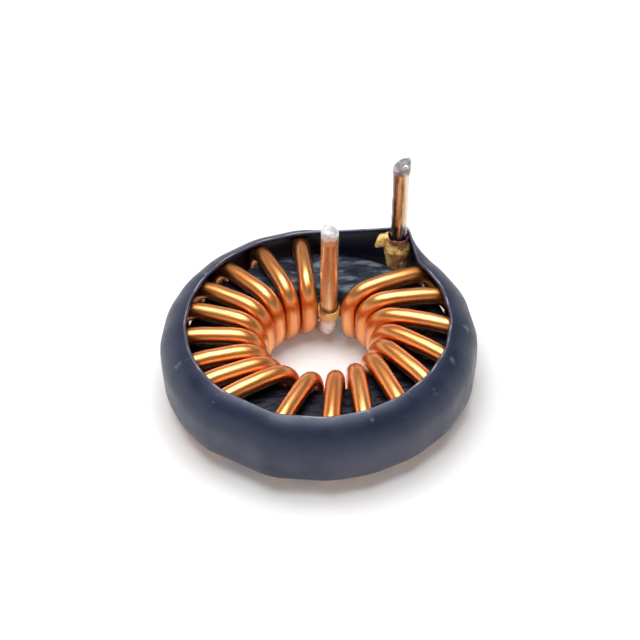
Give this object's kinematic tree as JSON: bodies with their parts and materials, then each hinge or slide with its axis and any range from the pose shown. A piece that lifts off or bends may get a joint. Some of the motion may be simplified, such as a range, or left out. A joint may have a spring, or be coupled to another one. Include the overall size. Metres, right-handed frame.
{
  "type": "toroidal inductor",
  "caption": "Ring-shaped power inductor: thick enamelled copper wire wound on a flat powder core, held by a shrunk film sleeve, with upright leads for a circuit board.",
  "frame": {"origin": "on the axis of the ring, at the level that the lowest turns rest on", "axes": "+Z along the axis of the ring, the way both leads point; +X to the right and -Y towards the viewer in the picture"},
  "size_m": [0.0204, 0.0204, 0.0122],
  "materials": {
    "core_coating": "dull dark coating over pressed powder",
    "enamelled_copper": "copper under clear amber enamel, glossy",
    "shrink_film": "thin satin heat-shrink film, nearly black with a blue-grey sheen",
    "lead_enamel": "lumpy tan enamel left by stripping",
    "solder": "dull bright tin"
  },
  "bodies": {
    "root": {"core": "core_coating", "winding": "enamelled_copper", "heat_shrink_film": "shrink_film", "inner_lead_cuff": "lead_enamel", "outer_lead_cuff": "lead_enamel", "inner_lead_tip": "solder", "outer_lead_tip": "solder"}
  },
  "joints": []
}
